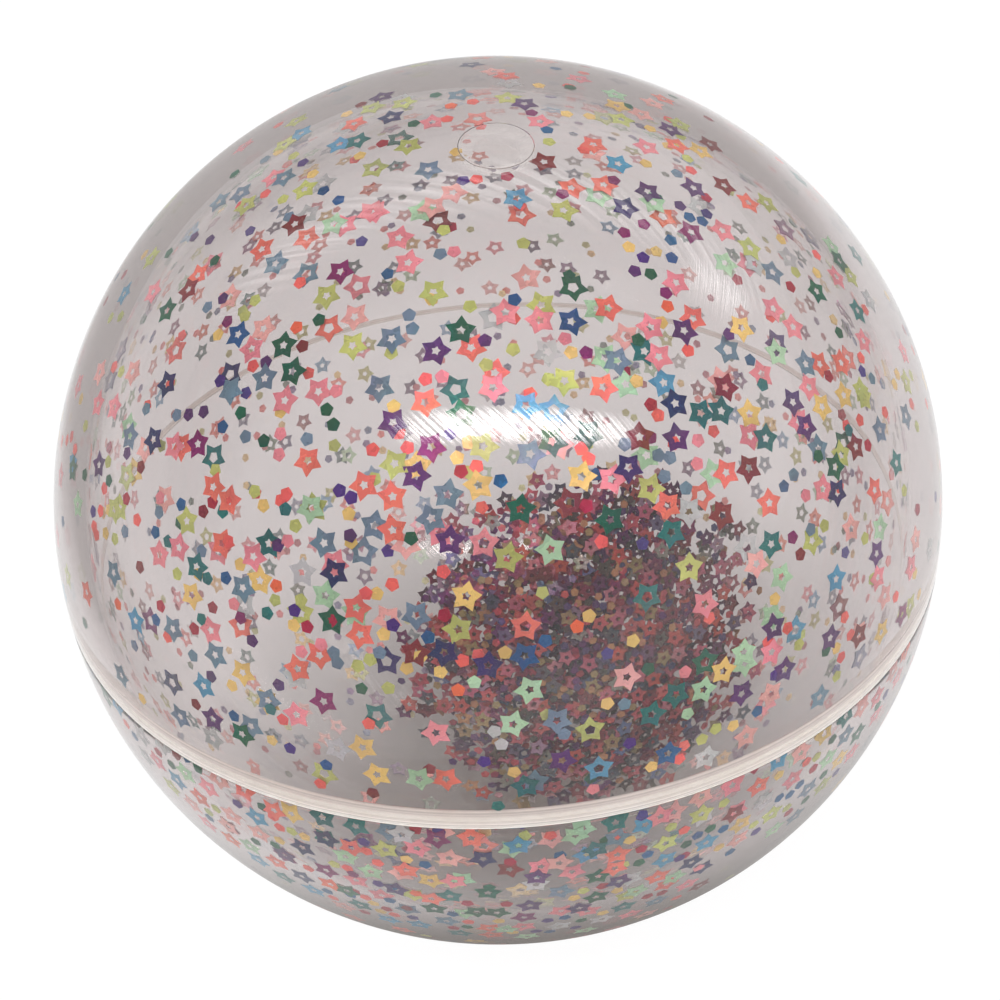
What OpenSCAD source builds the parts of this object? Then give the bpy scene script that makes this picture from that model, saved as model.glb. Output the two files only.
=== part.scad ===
// Clear bouncy ball: two moulded halves welded at a stepped joint, a filling plug in
// the upper half, and star confetti sealed inside. Part of the confetti clings to the
// wall and turns with the ball, the rest lies as a loose heap.
// Millimetres. The origin is the ball's centre and +Z is up, with the ball as it lies.

/* [Ball] */
// Outside diameter of the ball
ball_d = 100; // [80:1:120]
// Thickness of the clear wall
wall_t = 3.3; // [2.6:0.1:5]
// Lean of the moulding axis from upright as the ball lies, in degrees
lie_tilt = 27; // [0:1:90]
// Compass direction of that lean from +X, in degrees
lie_turn = 34; // [0:1:359]

/* [Joint of the halves] */
// Height of the tongue on the lower half that centres the upper half
tongue_h = 0.4; // [0.3:0.1:2.4]
// Thickness of the weld film between the halves
weld_t = 0.16; // [0.1:0.02:0.3]

/* [Filling plug] */
// Lean of the plug from the moulding axis, in degrees
plug_lean = 13; // [0:1:40]
// Direction of that lean round the moulding axis, in degrees
plug_turn = 225; // [0:1:359]
// Diameter of the plug's shank
plug_d = 4.5; // [3:0.5:8]
// Width of the flange round the plug's head
plug_flange_w = 1.25; // [0.8:0.05:2]
// Thickness of the plug's head at its middle
plug_head_t = 1.4; // [1:0.1:1.8]
// Gap all round the plug in its stepped hole
plug_gap = 0.05; // [0.02:0.01:0.1]

/* [Confetti] */
// Size of a star from tip to tip
star_d = 2.8; // [2:0.1:3.4]
// Size of the hole punched in a star, corner to corner
star_hole_d = 1.05; // [0.6:0.05:1.5]
// Size of a dot, corner to corner
dot_d = 1.22; // [0.8:0.02:1.6]
// Thickness of the confetti film
film_t = 0.08; // [0.06:0.01:0.14]
// Stars that cling to the wall, in each of two layers
cling_star_count = 156; // [60:1:200]
// Dots that cling to the wall
cling_dot_count = 290; // [60:1:320]
// Bare strip above and below the joint, where nothing clings
joint_bare_w = 0.9; // [0.3:0.1:4]

/* [Loose heap] */
// Width of the heap at the bottom of the ball
heap_w = 50; // [42:1:60]
// Flakes in the lowest layer of the heap
heap_count = 126; // [60:1:150]
// Layers of flakes in the heap
heap_layer_count = 7; // [2:1:8]
// Steepest tilt of a flake in the heap, in degrees
heap_tilt = 8; // [0:1:16]
// Share of the flakes in the heap that are stars
heap_star_share = 0.7; // [0.3:0.02:0.8]

/* [Hidden] */
$fn = 96;

ball_r = ball_d / 2;
inner_r = ball_r - wall_t;
mid_r = ball_r - wall_t / 2;
weld_half = weld_t / 2;

plug_r = plug_d / 2;
plug_head_r = plug_r + plug_flange_w;
plug_seat_z = ball_r - plug_head_t;

star_r = star_d / 2;
star_tip_count = 5;
star_notch_share = 0.6;

// Clearance between one flake and the next, and between a flake and the wall
flake_gap = 0.08;
// Clearance between the loose heap and the flakes that cling to the wall
heap_gap = 0.2;

// The film names, colours and shares of the mix, in one order
star_hues = [
    "coral", "pink", "blush", "orange", "emerald", "teal", "indigo", "plum",
    "magenta", "maroon", "steel", "sky", "lime", "mint", "gold", "silver"
];
star_colours = [
    [0.94, 0.47, 0.43], [0.94, 0.51, 0.59], [0.96, 0.69, 0.67], [0.96, 0.37, 0.24],
    [0.08, 0.35, 0.25], [0.12, 0.49, 0.49], [0.20, 0.18, 0.39], [0.37, 0.20, 0.43],
    [0.55, 0.14, 0.43], [0.55, 0.20, 0.24], [0.39, 0.51, 0.59], [0.35, 0.59, 0.71],
    [0.65, 0.67, 0.24], [0.67, 0.82, 0.67], [0.92, 0.80, 0.43], [0.75, 0.76, 0.76]
];
star_hue_shares = [3, 2, 1.4, 1.3, 1.5, 1.2, 1.5, 1.2, 1, 1.1, 1.2, 1.2, 1.2, 1, 1, 1];
dot_hues = ["red", "crimson", "violet", "emerald", "blue", "lime", "gold"];
dot_colours = [
    [0.92, 0.33, 0.33], [0.71, 0.12, 0.27], [0.24, 0.12, 0.63], [0.08, 0.35, 0.25],
    [0.16, 0.35, 0.63], [0.65, 0.67, 0.24], [0.92, 0.80, 0.43]
];
dot_hue_shares = [2, 1.2, 1.2, 1, 1.2, 1, 1];
// Step along the mix from one flake to the next
hue_step_share = sqrt(2);

// Directions on a sphere follow each other by the golden angle
golden_turn = 180 * (3 - sqrt(5));
// Least spacing of such directions on a sphere of radius 1, times the root of their count
lattice_share = 3.09;
// Least spacing of flakes on a spiral, as a share of the root of the area each has
spiral_share = 0.93;

// Clinging flakes lie flat against the wall in three layers: stars, stars, dots
cling_step = film_t + flake_gap;
cling_layer_count = 3;
cling_top_r = sqrt(pow(inner_r - flake_gap, 2) - pow(star_r, 2));
cling_floor_r = cling_top_r - cling_layer_count * cling_step;

// Flakes of the heap lie on spheres about the ball's centre, so the heap can slide round
heap_step = star_d * sin(heap_tilt) + film_t + flake_gap;
heap_top_r = cling_floor_r - heap_gap;

// Starts of the random series, and the step of the running numbers between heap layers
star_seeds = [11, 4211];
dot_seed = 8111;
layer_numbers = 1000;
// Turn of each heap layer against the one below, in degrees
layer_turn = 90;

// Which film of the mix a flake is cut from, by its running number
function mix_total(shares, i = 0) = i == len(shares) ? 0 : shares[i] + mix_total(shares, i + 1);
function mix_at(level, shares, i = 0) =
    i == len(shares) - 1 || level < shares[i] ? i : mix_at(level - shares[i], shares, i + 1);
function hue_of(n, shares) =
    let (turn = n * hue_step_share)
    mix_at((turn - floor(turn)) * mix_total(shares), shares);

// How far a flake may stray from its even place and still clear its neighbours
function stray_room(spacing, size) = max(0, (spacing - size - flake_gap) / (2 * sqrt(2)));

// A spot is where one flake lies. These are the places of its values in the list
POLAR = 0;
AZIMUTH = 1;
SPIN = 2;
TILT = 3;
RADIUS = 4;
NUMBER = 5;

// Spots that cling to the wall, spread over the whole sphere
function cling_spots(count, size, layer, seed) = [
    for (i = [0 : count - 1])
        let (
            chance = rands(-1, 1, 3, seed + i),
            room = stray_room(inner_r * lattice_share / sqrt(count), size) / inner_r * 180 / PI,
            even_polar = acos(1 - (2 * i + 1) / count),
            polar = even_polar + chance[0] * room,
            azimuth = i * golden_turn + seed + chance[1] * room / sin(even_polar)
        )
        if (clings_clear(polar, azimuth, size))
            [polar, azimuth, chance[2] * 180, 0, cling_top_r - layer * cling_step, i]
];

// True where a flake of this size misses the joint and the plug
function clings_clear(polar, azimuth, size) =
    let (
        height = inner_r * cos(polar),
        plug_height = inner_r * (cos(polar) * cos(plug_lean)
            + sin(polar) * sin(plug_lean) * cos(azimuth - plug_turn)),
        from_plug = sqrt(max(0, pow(inner_r, 2) - pow(plug_height, 2))),
        reach = size / 2 + joint_bare_w
    )
    (height > tongue_h + weld_half + reach || height < -weld_half - reach)
    && (plug_height < 0 || from_plug > plug_r + reach);

// Spots of one layer of the heap, on a spiral about the lowest point
function heap_spots(layer) =
    let (
        radius = heap_top_r - layer * heap_step,
        layer_share = 1 - layer / heap_layer_count,
        half_w = heap_w / 2 * sqrt(layer_share),
        cap_h = radius - sqrt(pow(radius, 2) - pow(half_w, 2)),
        count = round(heap_count * layer_share),
        pitch = sqrt(2 * PI * radius * cap_h / count),
        room = stray_room(pitch * spiral_share, star_d) / radius * 180 / PI
    )
    [
        for (i = [0 : count - 1])
            let (
                number = i + layer * layer_numbers,
                chance = rands(-1, 1, 4, number),
                even_polar = 180 - acos(1 - (i + 0.5) / count * cap_h / radius),
                polar = even_polar + chance[0] * room,
                azimuth = i * golden_turn + layer * layer_turn + chance[1] * room / sin(even_polar),
                tilt = abs(chance[3]) * heap_tilt,
                half_size = (heap_is_star(number) ? star_d : dot_d) / 2,
                rest_r = sqrt(pow(radius, 2) - pow(half_size * cos(tilt), 2)) - half_size * sin(tilt)
            )
            [polar, azimuth, chance[2] * 180, tilt, rest_r, number]
    ];

wall_star_spots = concat(
    cling_spots(cling_star_count, star_d, 0, star_seeds[0]),
    cling_spots(cling_star_count, star_d, 1, star_seeds[1])
);
wall_dot_spots = cling_spots(cling_dot_count, dot_d, 2, dot_seed);
heap_all_spots = [for (layer = [0 : heap_layer_count - 1]) each heap_spots(layer)];

// Stars and dots share the heap's spots in a steady mix
function heap_is_star(n) = floor((n + 1) * heap_star_share) > floor(n * heap_star_share);
heap_star_spots = [for (spot = heap_all_spots) if (heap_is_star(spot[NUMBER])) spot];
heap_dot_spots = [for (spot = heap_all_spots) if (!heap_is_star(spot[NUMBER])) spot];

// Turns a piece from the moulding axis to the way the ball lies
module as_it_lies() {
    rotate([0, lie_tilt, lie_turn])
        children();
}

// Turns a piece from the moulding axis to the plug's own axis
module at_plug() {
    rotate([0, plug_lean, plug_turn])
        children();
}

// Half of the ring-shaped cross-section of the wall, beside the axis
module wall_section() {
    intersection() {
        difference() {
            circle(ball_r);
            circle(inner_r);
        }
        translate([0, -ball_d])
            square([ball_d, 2 * ball_d]);
    }
}

// What lies above the stepped joint, clear of the weld film
module above_joint() {
    translate([0, tongue_h + weld_half])
        square(ball_d);
    translate([mid_r + weld_half, weld_half])
        square(ball_d);
}

// What lies below the stepped joint, clear of the weld film, with the tongue
module below_joint() {
    translate([0, -ball_d - weld_half])
        square(ball_d);
    translate([0, -ball_d])
        square([mid_r - weld_half, ball_d + tongue_h - weld_half]);
}

// Stepped outline of the plug, or of its hole with the gap added
module plug_outline(gap) {
    square([plug_r + gap, ball_d]);
    translate([0, plug_seat_z])
        square([plug_head_r + gap, ball_d]);
}

module upper_half() {
    color([0.86, 0.85, 0.84, 0.35])
        as_it_lies()
            difference() {
                rotate_extrude()
                    intersection() {
                        wall_section();
                        above_joint();
                    }
                at_plug()
                    rotate_extrude()
                        plug_outline(plug_gap);
            }
}

module lower_half() {
    color([0.84, 0.83, 0.82, 0.35])
        as_it_lies()
            rotate_extrude()
                intersection() {
                    wall_section();
                    below_joint();
                }
}

module weld_ring() {
    color([0.93, 0.92, 0.88])
        as_it_lies()
            rotate_extrude()
                difference() {
                    wall_section();
                    above_joint();
                    below_joint();
                }
}

module fill_plug() {
    color([0.80, 0.80, 0.79])
        as_it_lies()
            at_plug()
                rotate_extrude()
                    intersection() {
                        wall_section();
                        plug_outline(0);
                    }
}

// Corners of a star, or of a pentagon where only the tips are asked for
function tip_corners(size) = [
    for (i = [0 : star_tip_count - 1])
        size / 2 * [cos(i * 360 / star_tip_count), sin(i * 360 / star_tip_count)]
];
function star_corners(size) = [
    for (i = [0 : 2 * star_tip_count - 1])
        size / 2 * (i % 2 == 0 ? 1 : star_notch_share)
            * [cos(i * 180 / star_tip_count), sin(i * 180 / star_tip_count)]
];

// A punched star: one film with a five-cornered hole in its middle
module star() {
    linear_extrude(film_t)
        polygon(
            concat(star_corners(star_d), tip_corners(star_hole_d)),
            [
                [for (i = [0 : 2 * star_tip_count - 1]) i],
                [for (i = [0 : star_tip_count - 1]) 2 * star_tip_count + i]
            ]
        );
}

// A dot, the piece punched out of a star
module dot() {
    linear_extrude(film_t)
        polygon(tip_corners(dot_d));
}

// Puts a flake on its spot, its far side turned to the ball's centre
module at_spot(spot) {
    rotate([0, spot[POLAR], spot[AZIMUTH]])
        translate([0, 0, spot[RADIUS]])
            rotate([spot[TILT], 0, spot[SPIN]])
                translate([0, 0, -film_t])
                    children();
}

module wall_stars(hue) {
    color(star_colours[hue])
        as_it_lies()
            for (spot = wall_star_spots)
                if (hue_of(spot[NUMBER], star_hue_shares) == hue)
                    at_spot(spot)
                        star();
}

module wall_dots(hue) {
    color(dot_colours[hue])
        as_it_lies()
            for (spot = wall_dot_spots)
                if (hue_of(spot[NUMBER], dot_hue_shares) == hue)
                    at_spot(spot)
                        dot();
}

module heap_stars(hue) {
    color(star_colours[hue])
        for (spot = heap_star_spots)
            if (hue_of(spot[NUMBER], star_hue_shares) == hue)
                at_spot(spot)
                    star();
}

module heap_dots(hue) {
    color(dot_colours[hue])
        for (spot = heap_dot_spots)
            if (hue_of(spot[NUMBER], dot_hue_shares) == hue)
                at_spot(spot)
                    dot();
}

upper_half();
lower_half();
weld_ring();
fill_plug();
for (h = [0 : len(star_hues) - 1])
    wall_stars(h);
for (h = [0 : len(dot_hues) - 1])
    wall_dots(h);
for (h = [0 : len(star_hues) - 1])
    heap_stars(h);
for (h = [0 : len(dot_hues) - 1])
    heap_dots(h);
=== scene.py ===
"""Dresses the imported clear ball: clear turned shells, a milky weld, the plug and the confetti."""

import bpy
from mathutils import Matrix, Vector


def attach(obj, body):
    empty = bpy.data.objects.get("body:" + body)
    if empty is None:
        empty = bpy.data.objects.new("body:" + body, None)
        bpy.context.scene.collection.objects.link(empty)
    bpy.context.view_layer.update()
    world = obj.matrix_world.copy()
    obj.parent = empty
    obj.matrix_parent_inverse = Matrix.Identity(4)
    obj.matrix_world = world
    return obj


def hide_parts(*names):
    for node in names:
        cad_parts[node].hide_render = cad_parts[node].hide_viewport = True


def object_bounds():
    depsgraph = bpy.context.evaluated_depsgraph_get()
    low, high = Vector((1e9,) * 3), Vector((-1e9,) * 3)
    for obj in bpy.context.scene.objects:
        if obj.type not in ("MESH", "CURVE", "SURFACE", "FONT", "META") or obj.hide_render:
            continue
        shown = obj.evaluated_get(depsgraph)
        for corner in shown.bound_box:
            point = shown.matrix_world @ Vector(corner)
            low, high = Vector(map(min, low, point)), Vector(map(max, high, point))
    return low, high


bl_info = {
    "name": "Clear Confetti Ball",
    "version": (1, 0, 0),
    "blender": (4, 5, 0),
    "location": "3D View > Sidebar > Confetti Ball",
    "description": "Models the clear shells, the weld, the plug and the confetti of a bouncy ball",
    "category": "Object",
}

import math
import random

import bpy
from bpy.props import FloatProperty, FloatVectorProperty, IntProperty, PointerProperty
from mathutils import Euler, Matrix, Vector, noise

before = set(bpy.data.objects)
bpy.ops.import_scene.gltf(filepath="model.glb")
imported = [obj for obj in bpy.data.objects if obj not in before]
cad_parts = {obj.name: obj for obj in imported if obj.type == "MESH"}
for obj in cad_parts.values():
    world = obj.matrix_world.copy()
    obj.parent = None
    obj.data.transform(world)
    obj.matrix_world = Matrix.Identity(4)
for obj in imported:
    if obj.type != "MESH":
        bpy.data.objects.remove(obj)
cad_low, cad_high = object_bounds()

MM = 0.001
FULL_TURN = 2 * math.pi
UP = Vector((0, 0, 1))
# Faces that meet at less than this angle are shaded as one curve
SMOOTH_ANGLE = math.radians(30)
# Points nearer to each other than this are one point
SAME_POINT = MM / 1000
# Air between the weld or the plug's head and the halves
HAIR_GAP = 0.02 * MM

# Tips of a star, and the shape of the flakes as shares of their size
STAR_TIPS = 5
STAR_NOTCH_SHARE = 0.6
STAR_RIM_SHARE = 0.195
DOT_NOTCH_SHARE = 0.84

# Starts of the chances on the wall and in the heap
WALL_SEED = 7
HEAP_SEED = 19
# How fine the clumps on the wall are, and how much of the wall between them is covered
CLUMP_SCALE = 3.1
CLUMP_LEVEL = 0.45
# How far behind the laid-out flakes the scattered ones lie, in thicknesses of the film
SCATTER_DEPTH = 1.5
# Flakes in one layer of the heap may overlap down to this share of their size
HEAP_OVERLAP_SHARE = 0.75
# How far the heap's edge strays from a circle, as a share of its width
HEAP_EDGE_SHARE = 0.16

# The way to the camera from the ball, and what is right of and above the ball in its picture
VIEW_WAY = Vector((0, -0.5635, 0.826)).normalized()
VIEW_RIGHT = Vector((0.853, -0.431, -0.294)).normalized()
VIEW_UP = VIEW_WAY.cross(VIEW_RIGHT).normalized()
CAMERA_DISTANCE = 0.175
CAMERA_LENS = 53.7
CAMERA_SHIFT = 0.002

# Lamps: the way to each from the ball (right, up and towards the camera), then its width, height
# and distance in metres, and how bright it looks
LAMPS = {
    "streak_lamp": ((0.064, 0.285, 0.955), 0.54, 0.075, 0.5, 36),
    "arc_lamp": ((0, 0.965, 0.2), 2.0, 0.2, 0.6, 2.4),
    "patch_lamp": ((0.696, 0.671, 0.256), 0.17, 0.11, 0.6, 6),
}
# Light of the surroundings on dull pieces, and what shiny and clear ones see of them by height
SOFT_LIGHT = 1.12
ROOM_STOPS = ((0.05, 0.95), (0.5, 0.3))

FLOOR_RADIUS = 3
FLOOR_WHITE = 1.04
# How much of the lamps' shadow the white floor keeps
FLOOR_SHADOW_SHARE = 0.14
# The shade on the floor as it shows through the ball: its offset, its levels by distance in
# metres, and its colour where it is darkest
SHADE_OFFSET = (22 * MM, 20 * MM, 0)
SHADE_STOPS = ((0.0, 0.12), (0.026, 0.3), (0.066, 0.97), (0.16, 1.0), (0.2, 0.6))
SHADE_COLOUR = (0.06, 0.04, 0.02, 1)

STAR_HUES = (
    "coral", "pink", "blush", "orange", "emerald", "teal", "indigo", "plum",
    "magenta", "maroon", "steel", "sky", "lime", "mint", "gold", "silver",
)
DOT_HUES = ("red", "crimson", "violet", "emerald", "blue", "lime", "gold")
STAR_SHARES = (2.4, 3, 2.4, 1, 1.2, 1.2, 0.9, 1, 0.8, 0.8, 1.5, 1.3, 2, 1.6, 1.5, 1.3)
DOT_SHARES = (2, 1.2, 1.2, 1, 1.2, 1, 1)
HEAP_STAR_SHARES = (3, 2.5, 1, 1, 0.8, 1.2, 1, 1.6, 1.6, 2.6, 1, 0.6, 0.5, 0.4, 0.4, 0.5)
PALE_STAR_SHARES = (1.5, 3, 3, 0, 0, 0.3, 0, 0, 0, 0, 1, 0.5, 2, 2, 1.5, 1.5)
PALE_DOT_SHARES = (2, 0, 0, 0, 0, 2, 2)

# Film colours as they look on a screen
FILM_COLOURS = {
    "coral": (1.0, 0.50, 0.44),
    "pink": (1.0, 0.60, 0.65),
    "blush": (1.0, 0.74, 0.72),
    "orange": (1.0, 0.45, 0.30),
    "emerald": (0.02, 0.40, 0.29),
    "teal": (0.08, 0.48, 0.48),
    "indigo": (0.18, 0.17, 0.42),
    "plum": (0.36, 0.19, 0.46),
    "magenta": (0.55, 0.12, 0.43),
    "maroon": (0.55, 0.16, 0.22),
    "steel": (0.45, 0.57, 0.66),
    "sky": (0.35, 0.66, 0.82),
    "lime": (0.80, 0.84, 0.48),
    "mint": (0.72, 0.90, 0.74),
    "gold": (0.98, 0.84, 0.50),
    "silver": (0.80, 0.82, 0.83),
    "red": (1.0, 0.42, 0.40),
    "crimson": (0.71, 0.10, 0.26),
    "violet": (0.28, 0.14, 0.54),
    "blue": (0.08, 0.37, 0.60),
}
# Painted shade on the loose films of the heap: the dark colour they turn to, how far, and the share of
# each channel left
HEAP_SHADE_COLOUR = (0.12, 0.015, 0.04)
HEAP_SHADE_SHARE = 0.58
HEAP_SHADE_LEFT = (0.95, 0.76, 0.95)
# Painted light on the films on the wall: their inner side is paled so that flakes on the far wall look
# lit through the ball: the colour it turns to, and how far
FAR_SIDE_LIGHT_COLOUR = (0.95, 0.86, 0.84)
FAR_SIDE_LIGHT_SHARE = 0.4

# Flakes are laid out where the wall faces the camera by more than this, as a cosine
FRONT_EDGE = 0.41
# Where the heap shows through the wall in front, in millimetres right of and above the ball's middle
HEAP_SHOWS = (8, -12)
# The photo, in pixels: where the ball's middle shows, and how far the eye is from the picture
PHOTO_MIDDLE = (498, 500)
PHOTO_FOCAL = 1492.6
# How much the clear wall bends light
WALL_BENDS = 1.5
# Radii on the light's way: the ball's outside, and the layer that the photo's flakes are taken to lie on
PHOTO_OUTER_R = 50 * MM
PHOTO_LAYER_R = 46.74 * MM
# Where flakes of each film show in the photo, read off, in pixels from its left and its top
FRONT_STARS = {
    "blue": (
        (237, 334), (525, 656), (572, 321), (668, 754),
    ),
    "blush": (
        (227, 827), (355, 316), (432, 206), (560, 863), (626, 678),
    ),
    "coral": (
        (213, 486), (229, 500), (262, 248), (273, 811), (297, 669), (308, 461), (351, 848), (354, 123),
        (356, 608), (360, 635), (364, 486), (392, 530), (392, 496), (407, 871), (432, 900), (425, 402),
        (446, 779), (506, 75), (593, 144), (604, 388), (608, 307), (615, 869), (667, 506), (677, 145),
        (726, 473), (749, 202), (770, 503),
    ),
    "emerald": (
        (72, 469), (166, 310), (242, 735), (284, 345), (292, 371), (347, 892), (331, 621), (460, 330),
        (477, 913), (521, 509), (553, 442), (589, 433), (610, 519), (818, 291), (835, 466), (840, 260),
    ),
    "gold": (
        (191, 596), (363, 748), (377, 775), (466, 597), (479, 486), (582, 476), (617, 105), (724, 671),
        (742, 328), (750, 413), (822, 406),
    ),
    "indigo": (
        (153, 440), (166, 384), (326, 840), (334, 573), (391, 116), (443, 653), (487, 665), (629, 468),
        (626, 207), (675, 404), (838, 492),
    ),
    "lime": (
        (114, 510), (187, 522), (245, 205), (284, 143), (305, 189), (326, 296), (353, 346), (372, 107),
        (404, 102), (394, 464), (434, 292), (458, 629), (484, 446), (507, 558), (564, 381), (651, 488),
        (689, 568), (680, 123), (701, 815), (750, 248), (768, 203), (865, 397),
    ),
    "magenta": (
        (197, 444), (323, 702), (340, 272), (431, 448), (437, 840), (691, 232), (903, 615),
    ),
    "maroon": (
        (188, 289), (294, 224), (415, 653), (544, 161), (640, 437), (722, 515), (726, 387), (711, 144),
        (724, 185), (749, 469), (734, 815), (856, 447), (860, 635),
    ),
    "mint": (
        (333, 224), (419, 779), (506, 930), (513, 724), (530, 691), (551, 550), (575, 836), (636, 892),
        (675, 878), (703, 690), (744, 653), (782, 578),
    ),
    "pink": (
        (173, 446), (178, 547), (211, 631), (251, 349), (254, 557), (284, 400), (296, 715), (370, 211),
        (399, 237), (436, 734), (453, 882), (493, 387), (540, 320), (651, 326), (659, 356), (661, 817),
        (676, 282), (705, 604), (723, 230), (772, 653), (773, 309), (810, 387), (879, 578), (912, 567),
    ),
    "plum": (
        (98, 465), (212, 720), (284, 855), (382, 96), (395, 890), (392, 423), (416, 476), (435, 351),
        (450, 541), (525, 103), (537, 878), (562, 761), (579, 909), (619, 882), (649, 191), (677, 438),
        (684, 331), (671, 129), (693, 187), (742, 694), (774, 627), (785, 670), (794, 401), (806, 426),
        (831, 638), (877, 553),
    ),
    "silver": (
        (302, 573), (401, 836), (707, 758),
    ),
    "sky": (
        (517, 198), (518, 846), (527, 406), (618, 163), (837, 579),
    ),
    "steel": (
        (113, 573), (129, 437), (173, 629), (219, 201), (215, 656), (240, 193), (242, 589), (264, 378),
        (275, 263), (284, 177), (323, 543), (380, 388), (391, 339), (416, 615), (429, 169), (431, 519),
        (448, 494), (460, 94), (530, 454), (558, 720), (617, 361), (617, 838), (773, 272), (807, 364),
        (820, 697), (881, 430),
    ),
    "teal": (
        (196, 567), (357, 140), (525, 787), (596, 850), (653, 714), (672, 533), (676, 695), (701, 414),
        (721, 411), (766, 438), (771, 544), (897, 463),
    ),
}
FRONT_DOTS = {
    "blue": (
        (155, 620), (155, 532), (181, 505), (222, 427), (225, 578), (234, 716), (323, 190), (326, 766),
        (338, 200), (389, 901), (428, 637), (453, 915), (500, 481), (514, 299), (545, 641), (547, 129),
        (672, 257), (671, 240), (690, 217), (703, 221), (758, 712),
    ),
    "crimson": (
        (126, 499), (160, 606), (194, 629), (212, 502), (307, 627), (330, 621), (382, 143), (444, 615),
        (461, 471), (506, 905), (507, 176), (510, 863), (586, 506), (651, 404), (707, 197), (791, 286),
        (829, 376), (869, 445), (919, 509),
    ),
    "emerald": (
        (84, 623), (84, 475), (108, 481), (168, 253), (214, 260), (234, 173), (240, 413), (275, 846),
        (263, 441), (319, 320), (326, 409), (333, 424), (413, 123), (411, 538), (436, 94), (489, 888),
        (570, 86), (639, 340), (628, 105), (648, 669), (651, 273), (819, 456), (827, 651), (840, 332),
        (879, 706),
    ),
    "gold": (
        (240, 565), (294, 625), (384, 635), (393, 406), (420, 657), (440, 672), (505, 653), (514, 773),
        (571, 352), (589, 616), (608, 704), (633, 641), (637, 381), (646, 163), (775, 599), (817, 272),
    ),
    "lime": (
        (295, 526), (301, 601), (358, 666), (398, 286), (486, 364), (688, 158), (796, 272), (825, 526),
    ),
    "magenta": (
        (227, 321), (240, 618), (353, 875), (532, 112), (563, 193), (586, 352), (614, 180), (625, 232),
        (651, 437), (644, 224), (666, 293), (793, 538),
    ),
    "maroon": (
        (139, 567), (140, 467), (175, 756), (195, 705), (203, 511), (302, 346), (361, 104), (373, 793),
        (407, 909), (801, 555),
    ),
    "mint": (
        (475, 683), (688, 714),
    ),
    "orange": (
        (117, 604), (276, 586), (296, 327), (416, 894), (451, 105), (458, 690), (578, 627), (668, 306),
    ),
    "pink": (
        (159, 498), (233, 604), (279, 455), (280, 434), (287, 541), (301, 652), (321, 645), (336, 391),
        (442, 376), (454, 251), (565, 338), (593, 790), (685, 672), (698, 464), (698, 440), (699, 869),
        (806, 495),
    ),
    "plum": (
        (126, 453), (194, 236), (188, 414), (209, 239), (203, 412), (211, 677), (222, 298), (252, 641),
        (266, 362), (278, 685), (277, 546), (350, 536), (485, 340), (635, 271), (681, 205), (729, 334),
    ),
    "red": (
        (74, 449), (93, 527), (228, 541), (265, 193), (252, 366), (282, 720), (286, 494), (320, 784),
        (369, 724), (366, 593), (407, 447), (426, 379), (447, 118), (463, 661), (477, 179), (476, 467),
        (550, 836), (581, 449), (584, 149), (602, 542), (658, 415), (689, 350), (691, 170), (845, 618),
        (851, 635), (861, 420), (862, 357), (866, 309),
    ),
    "silver": (
        (494, 732), (502, 745),
    ),
    "steel": (
        (124, 532), (146, 409), (158, 512), (176, 415), (192, 656), (207, 307), (201, 551), (230, 392),
        (265, 159), (245, 437), (288, 216), (307, 439), (333, 653), (337, 663), (379, 653), (409, 315),
        (412, 328), (440, 253), (564, 735), (625, 444), (625, 704), (659, 455), (665, 476), (670, 457),
        (686, 488), (677, 173), (794, 475), (811, 529), (873, 378),
    ),
    "teal": (
        (167, 541), (201, 620), (207, 578), (222, 512), (270, 710), (267, 613), (285, 509), (498, 806),
        (763, 384), (849, 430),
    ),
    "violet": (
        (92, 512), (219, 381), (290, 749), (303, 162), (294, 611), (339, 490), (351, 498), (393, 625),
        (439, 834), (463, 180), (484, 762), (630, 743), (644, 257), (642, 817), (680, 859), (707, 213),
        (776, 675), (863, 371),
    ),
}


def shown_colour(screen):
    """A colour as it looks on a screen, in the linear values that a shader takes."""
    return [c / 12.92 if c <= 0.04045 else ((c + 0.055) / 1.055) ** 2.4 for c in screen]


def length_property(name, description, millimetres):
    """A length that a user can change, with its default in millimetres."""
    return FloatProperty(
        name=name, description=description, default=millimetres * MM, min=0, unit="LENGTH", precision=5
    )


def count_property(name, description, count):
    """A count that a user can change."""
    return IntProperty(name=name, description=description, default=count, min=0)


class BallSizes(bpy.types.PropertyGroup):
    """Sizes of the clear shells, their joint and the plug, as in the part's source"""

    ball_d: FloatProperty(
        name="Ball diameter", description="Outside diameter, from the packed model",
        default=cad_high.z - cad_low.z, unit="LENGTH",
    )
    wall_t: length_property("Wall", "Thickness of the clear wall", 3.3)
    tongue_h: length_property("Tongue", "Height of the tongue at the joint", 0.4)
    weld_t: length_property("Weld", "Thickness of the weld film", 0.16)
    plug_d: length_property("Plug", "Diameter of the plug's shank", 4.5)
    plug_flange_w: length_property("Flange", "Width of the flange round the plug's head", 1.25)
    plug_head_t: length_property("Plug head", "Thickness of the plug's head", 1.4)
    plug_gap: length_property("Plug gap", "Gap all round the plug", 0.05)
    edge_r: length_property("Edge", "Rounding of the moulded edges at the joint", 0.03)
    lie_tilt: FloatProperty(
        name="Lean", description="Lean of the moulding axis as the ball lies",
        default=math.radians(27), subtype="ANGLE",
    )
    lie_turn: FloatProperty(
        name="Lean direction", description="Compass direction of that lean",
        default=math.radians(34), subtype="ANGLE",
    )
    plug_lean: FloatProperty(
        name="Plug lean", description="Lean of the plug from the moulding axis",
        default=math.radians(13), subtype="ANGLE",
    )
    plug_turn: FloatProperty(
        name="Plug direction", description="Direction of that lean round the moulding axis",
        default=math.radians(225), subtype="ANGLE",
    )
    steps: IntProperty(name="Steps", description="Steps of a turned piece", default=192, min=24)

    def moulding_turn(self):
        """Turns the moulding axis from upright to the way the ball lies."""
        return Euler((0, self.lie_tilt, self.lie_turn)).to_matrix().to_4x4()

    def plug_axis_turn(self):
        """Turns the plug's axis from upright to the way it lies."""
        return self.moulding_turn() @ Euler((0, self.plug_lean, self.plug_turn)).to_matrix().to_4x4()


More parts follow.
